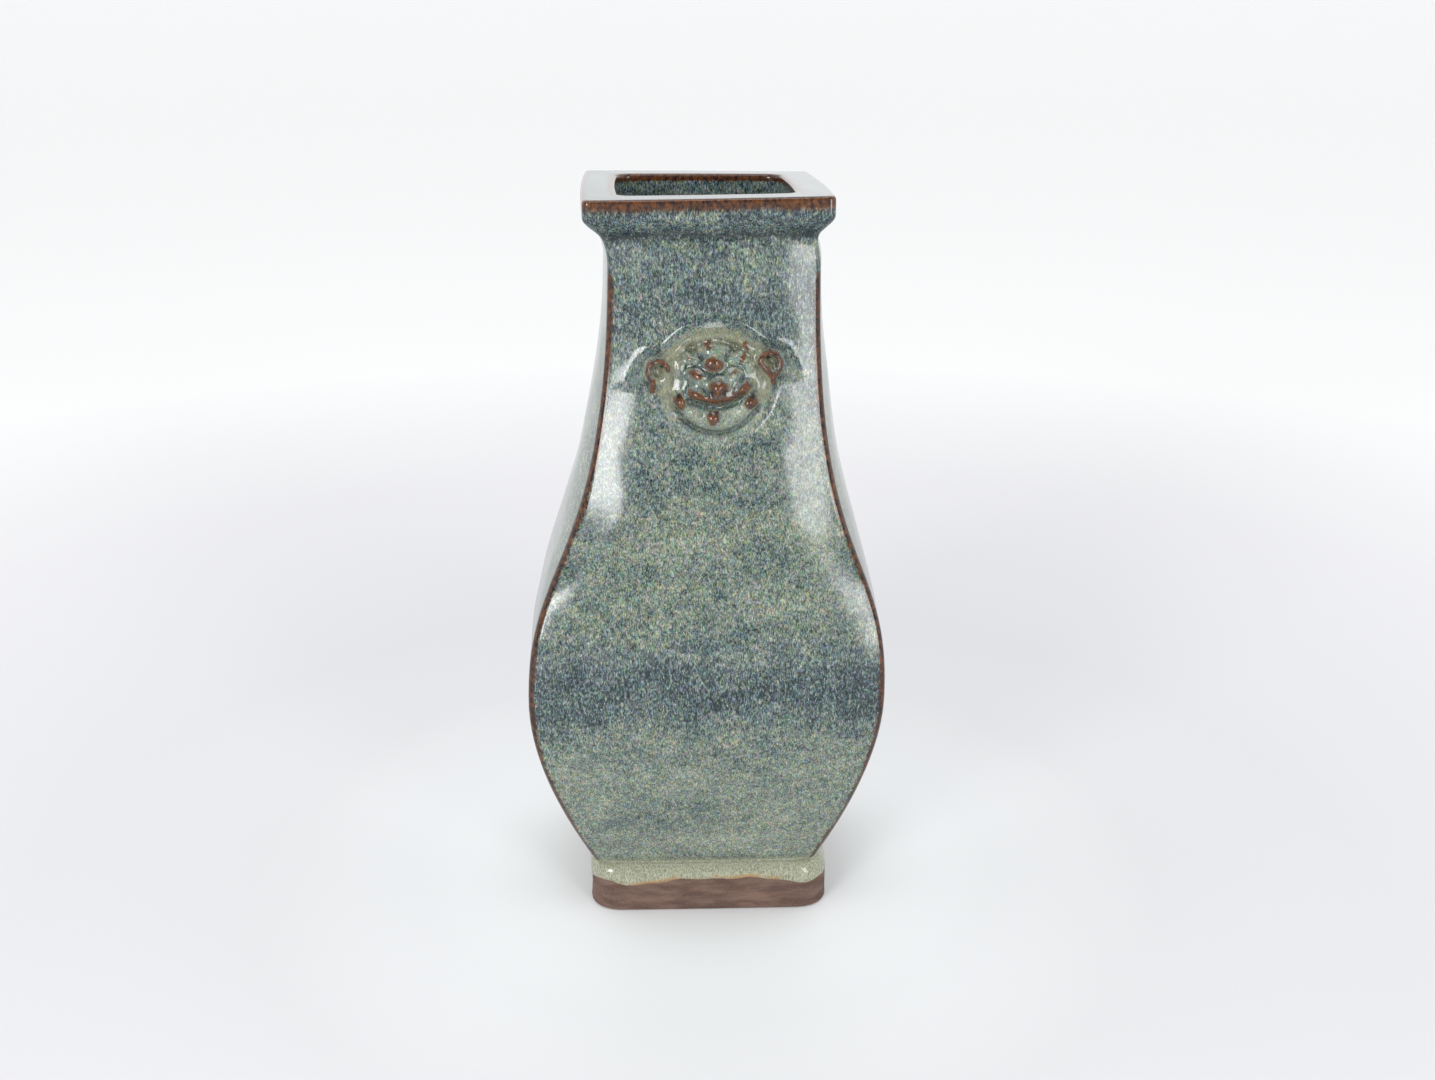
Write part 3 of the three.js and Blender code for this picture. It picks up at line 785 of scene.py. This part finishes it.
# The two creases where glaze gathers, under the lip and at the waist: height and width.
CREASE = (286.0, 1.5)
WAIST_CREASE = (22.3, 1.6)
MASK_POOL = 3.4
CREASE_POOL = 0.9
WAIST_POOL = 0.5
# The inside is painted paler, as painted light that stands in for the light falling into the mouth.
INSIDE_PAINTED_LIGHT = 0.4
POOL_BLUR = 10


def bell(z, middle, width):
    """1 at one height, falling towards 0 above and below it as a bell curve of that width."""
    return np.exp(-(((z - middle) / width) ** 2))


half_out = np.repeat(half, len(side), axis=1)
on_side = np.abs(across) < 1
quarter = np.pi / 4
round_corner = BODY_CORNER * np.where(on_side, quarter, np.abs(corner_turn + quarter))
from_corner = round_corner + np.where(on_side, np.maximum(half - BODY_CORNER - np.abs(along), 0), 0)
vertical_edge = np.where(on_body, from_corner + EDGE_LOSS * smooth(*EDGE_LOSS_Z, z), FAR)

on_lip = part == PART["lip"]
over_rim = RIM_TOP_HASTE * (LIP_HALF - half_out) * (z > HEIGHT - LIP_EDGE)
lip_outer = np.where(on_lip, HEIGHT - z + over_rim, FAR)
mouth_inner = np.where(part == PART["mouth"], 0.0, FAR)
over_rim_inwards = RIM_TOP_HASTE * (half_out - MOUTH_HALF - LIP_EDGE)
mouth_inner = np.where(on_lip & (z >= HEIGHT), over_rim_inwards, mouth_inner)
down_inside = RIM_TOP_HASTE * (HEIGHT - LIP_EDGE - z) + MOUTH_EDGE_START
mouth_inner = np.where((part == PART["inside"]) & (z > MOUTH_EDGE_FROM_Z), down_inside, mouth_inner)
lip_edge_distance = np.minimum(lip_outer, mouth_inner)

mask_hollows = np.clip(soften(relief.copy(), POOL_BLUR) - relief, 0, None) * plaque
under_lip = bell(z, *CREASE) * ((part == PART["moulding"]) | on_lip) * (half_out > NECK_HALF)
at_waist = bell(z, *WAIST_CREASE) * (on_body | on_foot)
pooled_glaze_and_inside_light = np.clip(MASK_POOL * mask_hollows + CREASE_POOL * under_lip + WAIST_POOL * at_waist, 0, 1)
# Below zero inside the pot, so that the glaze there is painted paler: painted light.
pooled_glaze_and_inside_light = pooled_glaze_and_inside_light - INSIDE_PAINTED_LIGHT * (part == PART["inside"])
print("pooled_glaze_and_inside_light", round(float(pooled_glaze_and_inside_light.mean()), 3), "thin", round(float(thin.mean()), 3))


# %% [markdown]
# ## The mesh
# Neighbouring points of the grid are joined into squares, and the two end rows close at a point each.

# %% Mesh
def grid_mesh(name, points, attributes):
    """One closed mesh from a grid of points whose first and last rows are poles and whose columns wrap round.

    Square (i, j) joins points (i, j), (i, j+1), (i+1, j+1) and (i+1, j). Next to a pole are triangles.
    """
    rows, columns_count = points.shape[:2]
    body_points = points[1:-1].reshape(-1, 3)
    vertices = np.vstack([points[:1, 0], body_points, points[-1:, 0]])
    index = 1 + np.arange((rows - 2) * columns_count).reshape(rows - 2, columns_count)
    after = np.roll(index, -1, axis=1)
    squares = np.stack([index[:-1], after[:-1], after[1:], index[1:]], axis=-1).reshape(-1, 4)
    last = len(vertices) - 1
    start = np.stack([np.zeros_like(index[0]), after[0], index[0]], axis=-1)
    end = np.stack([np.full_like(index[-1], last), index[-1], after[-1]], axis=-1)
    mesh = bpy.data.meshes.new(name)
    mesh.from_pydata((MM * vertices).tolist(), [], squares.tolist() + start.tolist() + end.tolist())
    for attribute_name, field in attributes.items():
        values = np.concatenate([field[0, :1], field[1:-1].ravel(), field[-1, :1]])
        attribute = mesh.attributes.new(attribute_name, "FLOAT", "POINT")
        attribute.data.foreach_set("value", values.astype(np.float32))
    mesh.polygons.foreach_set("use_smooth", np.ones(len(mesh.polygons), bool))
    mesh.update()
    return mesh


mesh = grid_mesh("glazed_vase", points, {
    "vertical_edge": vertical_edge,
    "lip_edge": lip_edge_distance,
    "thin": thin,
    "pit_shade": pit_shade,
    "plaque": plaque,
    "olive": olive,
    "pooled_glaze_and_inside_light": pooled_glaze_and_inside_light,
    "above_line": above_line,
})
vase = bpy.data.objects.new("glazed_vase", mesh)
bpy.context.scene.collection.objects.link(vase)
print(len(mesh.polygons), "faces")

# %% [markdown]
# ## Glaze
# The glaze is a thick, milky coat that ran a little in the fire, so its colour lies in fine upright flecks.
# Ink blue, slate, grey-green and pale straw lie side by side. Slow clouds and bands favour one or another.
# One value, from dark to pale, is the sum of flecks, clouds and a band that depends on the height.
# A colour ramp then turns it into glaze colours. Brown shows on edges and on the mask's high points.

# %% Noises
# Each noise: how wide and how tall its grains are in millimetres, its detail, roughness and offset.
NOISES = {
    "streaks": (0.5, 1.4, 3.0, 0.6, 0.0),
    "grains": (0.28, 0.6, 1.0, 0.5, 7.0),
    "mottle": (1.7, 2.4, 2.0, 0.6, 13.0),
    "clouds": (11.0, 6.5, 3.0, 0.55, 3.0),
    "drifts": (38.0, 17.0, 1.0, 0.5, 11.0),
    "ragged": (0.6, 2.0, 3.0, 0.7, 5.0),
    "wander": (9.0, 14.0, 2.0, 0.6, 6.0),
    "smears": (16.0, 4.0, 3.0, 0.6, 2.0),
    "pores": (0.5, 0.4, 2.0, 0.7, 9.0),
    "border": (3.0, 3.0, 2.0, 0.5, 0.0),
    "peel": (1.6, 2.2, 2.0, 0.5, 4.0),
}

glaze, tree, glaze_shader = material_with_shader("flecked glaze over clay")
place = tree.nodes.new("ShaderNodeTexCoord").outputs["Object"]
height_split = link_node(tree, "ShaderNodeSeparateXYZ", {0: place})
height = math(tree, "DIVIDE", height_split.outputs["Z"], HEIGHT * MM)
noise = {name: stretched_noise(tree, place, *settings) for name, settings in NOISES.items()}
print(len(noise), "noises")


# %% Glaze colour
def swings(reaches):
    """The sum of several noises, each swinging evenly about zero by its own reach."""
    return total(tree, *(swing(tree, noise[name], reach) for name, reach in reaches.items()))


def shaded(colour, share):
    """A colour made darker, or paler where share is over 1."""
    return tuple(share * value for value in colour)


COOL_GLAZE = (
    (0.0, (0.006, 0.012, 0.016)),
    (0.22, (0.038, 0.061, 0.067)),
    (0.42, (0.093, 0.132, 0.134)),
    (0.60, (0.160, 0.208, 0.200)),
    (0.82, (0.28, 0.335, 0.31)),
    (1.0, (0.42, 0.46, 0.41)),
)
WARM_GLAZE = (
    (0.0, (0.018, 0.028, 0.024)),
    (0.22, (0.073, 0.098, 0.082)),
    (0.42, (0.127, 0.158, 0.132)),
    (0.60, (0.200, 0.232, 0.185)),
    (0.82, (0.32, 0.352, 0.272)),
    (1.0, (0.45, 0.48, 0.37)),
)
# How pale the glaze is at each share of the height: dark at neck and belly, pale at shoulder and foot.
BANDS = (
    (0.0, 0.50), (0.10, 0.50), (0.16, 0.44), (0.235, 0.49), (0.30, 0.39), (0.335, 0.33),
    (0.37, 0.24), (0.41, 0.28), (0.45, 0.40), (0.50, 0.47), (0.60, 0.44), (0.66, 0.40),
    (0.72, 0.42), (0.82, 0.32), (0.88, 0.33), (0.92, 0.38), (0.97, 0.28),
)
FLECK_REACH = {"streaks": 2.0, "grains": 1.0, "mottle": 0.85}
CLOUD_REACH = {"clouds": 0.42, "drifts": 0.30}
FLECKS_AT_DARKEST = 1.38
FLECKS_LOST_WITH_PALENESS = 0.95
FLECKS_LOST_ON_MASK = 0.35
MASK_PALER = 0.12
POOL_DARKER_AND_INSIDE_PALER = 0.40
WARM_REACH = {"mottle": 0.3}
WARM_FROM_TO = (0.22, 0.52)
TINT_SCALE = (620, 620, 440)
TINT_REACH = (0.95, 0.50, 1.15)
TINT_BASE = (0.525, 0.75, 0.425)

band = ramp(tree, height, [(at, (pale, pale, pale)) for at, pale in BANDS], "B_SPLINE")
on_mask = painted(tree, "plaque")
calm = math(tree, "SUBTRACT", FLECKS_AT_DARKEST, times(tree, band, FLECKS_LOST_WITH_PALENESS))
calm = times(tree, calm, math(tree, "SUBTRACT", 1.0, times(tree, on_mask, FLECKS_LOST_ON_MASK)))
slow = total(tree, band, swings(CLOUD_REACH), times(tree, on_mask, MASK_PALER))
tone = total(tree, slow, times(tree, swings(FLECK_REACH), calm))
# Pooled glaze darkens the tone. Inside the pot the same value paints it paler, as painted light.
tone = math(tree, "SUBTRACT", tone, times(tree, painted(tree, "pooled_glaze_and_inside_light"), POOL_DARKER_AND_INSIDE_PALER), clamp=True)
warmth = smoothed(tree, total(tree, slow, swings(WARM_REACH)), *WARM_FROM_TO)
glaze_colour = mix(tree, warmth, ramp(tree, tone, COOL_GLAZE), ramp(tree, tone, WARM_GLAZE))

tint_place = link_node(tree, "ShaderNodeMapping", {"Vector": place, "Scale": TINT_SCALE}).outputs[0]
tint_noise = link_node(tree, "ShaderNodeTexNoise", {"Vector": tint_place, "Scale": 1.0, "Detail": 1.0})
tint_sum = {0: tint_noise.outputs["Color"], 1: TINT_REACH, 2: TINT_BASE}
tint = link_node(tree, "ShaderNodeVectorMath", tint_sum, operation="MULTIPLY_ADD").outputs[0]
tinted = link_node(tree, "ShaderNodeVectorMath", {0: glaze_colour, 1: tint}, operation="MULTIPLY")
print(len(COOL_GLAZE), "cool and", len(WARM_GLAZE), "warm glaze colours")

# %% [markdown]
# Over the foot the glaze gathered in a thick pale roll.
# It is celadon green there, with a touch of orange just over its border.

# %% Glaze over the foot
FOOT_CELADON = (0.40, 0.41, 0.29)
FOOT_ORANGE = (0.36, 0.20, 0.08)
FOOT_FROM_TO = (0.084, 0.070)
FOOT_SHARE = 0.85
CELADON_DARKEST = 0.45
CELADON_REACH = {"grains": 0.6}
CELADON_FROM_TO = (0.30, 0.62)
ORANGE_ABOVE_LINE = (2.6, 0.2)
ORANGE_CLOUDS = (0.42, 0.62)

foot_share = times(tree, smoothed(tree, height, *FOOT_FROM_TO), FOOT_SHARE)
celadon_pale = smoothed(tree, total(tree, noise["streaks"], swings(CELADON_REACH)), *CELADON_FROM_TO)
celadon = mix(tree, celadon_pale, shaded(FOOT_CELADON, CELADON_DARKEST), FOOT_CELADON)
near_line = smoothed(tree, painted(tree, "above_line"), *ORANGE_ABOVE_LINE)
orange_share = times(tree, near_line, smoothed(tree, noise["clouds"], *ORANGE_CLOUDS))
celadon = mix(tree, orange_share, celadon, FOOT_ORANGE)
glaze_colour = mix(tree, foot_share, tinted.outputs[0], celadon)
print("celadon", FOOT_CELADON)

# %% [markdown]
# Where the glaze runs thin its iron shows brown: on upright edges, round the lip, on the mask's high points.
# Each border is ragged, because the glaze draws back in little runs.

# %% Brown breaks
BROWN = (0.125, 0.040, 0.008)
DARK_BROWN = (0.012, 0.006, 0.006)
OLIVE = (0.20, 0.19, 0.10)
# The near black of the pits is painted shade.
PIT_SHADE = (0.006, 0.004, 0.004)
OLIVE_SHADES = (0.55, 1.4)
RAGGED_REACH = {"ragged": 4.0}
WANDER_REACH = {"wander": 2.4}
# Each brown begins at the first value and is full at the second.
EDGE_BROWN = (2.3, 1.1)
LIP_BROWN = (5.8, 3.0)
MASK_BROWN = (0.35, 0.9)
MASK_BROWN_WITHIN = (0.1, 0.4)
MASK_BROWN_REACH = {"mottle": 1.5}
MASK_BROWN_RAGGED = 0.12
OLIVE_FROM_TO = (0.15, 1.0)
OLIVE_REACH = {"mottle": 1.8}
OLIVE_SHARE = 0.5
BROWN_GRAINS = (0.18, 0.42)
BRIGHT_REACH = {"mottle": 1.9}
BRIGHT_ON_FORMS = 0.12
BRIGHT_LIP = (15.0, 5.0)
BRIGHT_FROM_TO = (0.20, 1.0)
PIT_REACH = {"streaks": 0.8}
PIT_FROM_TO = (0.15, 0.85)

ragged = swings(RAGGED_REACH)
frayed = total(tree, ragged, swings(WANDER_REACH))
thin_here = painted(tree, "thin")
from_lip = painted(tree, "lip_edge")
edge_brown = smoothed(tree, total(tree, painted(tree, "vertical_edge"), frayed), *EDGE_BROWN)
lip_brown = smoothed(tree, total(tree, from_lip, frayed), *LIP_BROWN)
thinness = total(tree, thin_here, swings(MASK_BROWN_REACH), times(tree, ragged, MASK_BROWN_RAGGED))
mask_brown = times(tree, smoothed(tree, thinness, *MASK_BROWN), smoothed(tree, thin_here, *MASK_BROWN_WITHIN))
brown_share = math(tree, "MAXIMUM", edge_brown, math(tree, "MAXIMUM", lip_brown, mask_brown))
brown_share = times(tree, brown_share, smoothed(tree, noise["grains"], *BROWN_GRAINS))

on_forms = times(tree, thin_here, BRIGHT_ON_FORMS)
on_lip_edge = times(tree, smoothed(tree, from_lip, *BRIGHT_LIP), BRIGHT_ON_FORMS)
bright = total(tree, noise["streaks"], swings(BRIGHT_REACH), on_forms, on_lip_edge)
brown_colour = mix(tree, smoothed(tree, bright, *BRIGHT_FROM_TO), DARK_BROWN, BROWN)

olive_here = smoothed(tree, total(tree, painted(tree, "olive"), swings(OLIVE_REACH)), *OLIVE_FROM_TO)
olive_colour = mix(tree, noise["streaks"], *(shaded(OLIVE, shade) for shade in OLIVE_SHADES))
olive_glaze = mix(tree, times(tree, olive_here, OLIVE_SHARE), glaze_colour, olive_colour)
thin_glaze = mix(tree, brown_share, olive_glaze, brown_colour)
# The pits are painted near black: painted shade in the holes.
pit_shade_share = smoothed(tree, total(tree, painted(tree, "pit_shade"), swings(PIT_REACH)), *PIT_FROM_TO)
thin_glaze = mix(tree, pit_shade_share, thin_glaze, PIT_SHADE)
print("brown", BROWN, "to", DARK_BROWN)

# %% [markdown]
# Two blemishes are the pot's own: a dark blister under the lip's left corner, and a smudge on the belly.

# %% Blemishes
BLISTER = dict(centre=(-35.8, -43.0, 279.5), radius=1.7, fray=0.1)
SMUDGE = dict(centre=(29.0, -72.3, 141.3), radius=3.6, fray=0.9)
SPOT_MIDDLE = 0.3
SMUDGE_SHARE = 0.7
SMUDGE_COLOUR = (0.019, 0.0305, 0.0335)


def spot(centre, radius, fray):
    """1 in the middle of a round blemish, falling to 0 at its radius in millimetres, with a frayed border."""
    middle = shaded(centre, MM)
    away = link_node(tree, "ShaderNodeVectorMath", {0: place, 1: middle}, operation="DISTANCE")
    frayed_away = total(tree, math(tree, "DIVIDE", away.outputs["Value"], MM), times(tree, ragged, fray))
    return smoothed(tree, frayed_away, radius, SPOT_MIDDLE * radius)


blister = spot(**BLISTER)
thin_glaze = mix(tree, blister, thin_glaze, DARK_BROWN)
thin_glaze = mix(tree, times(tree, spot(**SMUDGE), SMUDGE_SHARE), thin_glaze, SMUDGE_COLOUR)
print("blister at", BLISTER["centre"], "smudge at", SMUDGE["centre"])

# %% [markdown]
# ## Bare clay
# The foot was wiped clean before firing, so no glaze stuck it to the kiln shelf.
# Its clay fired a dull red-brown, with darker smears, pores and the fine lines of the sponge.

# %% Clay and its border
CLAY = (0.165, 0.102, 0.077)
CLAY_DARK = (0.078, 0.045, 0.034)
CLAY_RED = (0.22, 0.113, 0.075)
SMEARS_FROM_TO = (0.35, 0.7)
PORES_FROM_TO = (0.5, 0.75)
CLAY_SURFACE = {"Roughness": 0.75}
CLAY_BUMP = {"Strength": 0.5, "Distance": 0.15 * MM}
BORDER_REACH = {"border": 0.5}
BORDER_FROM_TO = (-0.12, 0.12)

clay_colour = mix(tree, smoothed(tree, noise["smears"], *SMEARS_FROM_TO), CLAY_DARK, CLAY)
clay_colour = mix(tree, smoothed(tree, noise["pores"], *PORES_FROM_TO), clay_colour, CLAY_RED)
glazed = smoothed(tree, total(tree, painted(tree, "above_line"), swings(BORDER_REACH)), *BORDER_FROM_TO)
clay_shader = link_node(tree, "ShaderNodeBsdfPrincipled", {"Base Color": clay_colour, **CLAY_SURFACE})
clay_bump = link_node(tree, "ShaderNodeBump", {"Height": noise["pores"], **CLAY_BUMP})
tree.links.new(clay_bump.outputs["Normal"], clay_shader.inputs["Normal"])
print("clay", CLAY)

# %% [markdown]
# ## Gloss
# The glaze is a smooth glass with a faint orange peel, and the blister stands up from it.

# %% Glaze surface
GLAZE_ROUGHNESS = 0.13
GLAZE_IOR = 1.52
GLAZE_BUMP = {"Strength": 0.35, "Distance": 0.05 * MM}
BLISTER_RISE = 6.0

tree.links.new(thin_glaze, glaze_shader.inputs["Base Color"])
glaze_shader.inputs["Roughness"].default_value = GLAZE_ROUGHNESS
glaze_shader.inputs["IOR"].default_value = GLAZE_IOR
uneven = total(tree, noise["peel"], times(tree, blister, BLISTER_RISE))
glaze_bump = link_node(tree, "ShaderNodeBump", {"Height": uneven, **GLAZE_BUMP})
tree.links.new(glaze_bump.outputs["Normal"], glaze_shader.inputs["Normal"])
layers = {0: glazed, 1: clay_shader.outputs[0], 2: glaze_shader.outputs[0]}
whole = link_node(tree, "ShaderNodeMixShader", layers)
tree.links.new(whole.outputs[0], tree.nodes["Material Output"].inputs["Surface"])
mesh.materials.append(glaze)
print(len(tree.nodes), "nodes in the glaze")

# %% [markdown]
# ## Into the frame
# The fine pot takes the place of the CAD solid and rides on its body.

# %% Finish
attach(vase, "root")
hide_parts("vase")
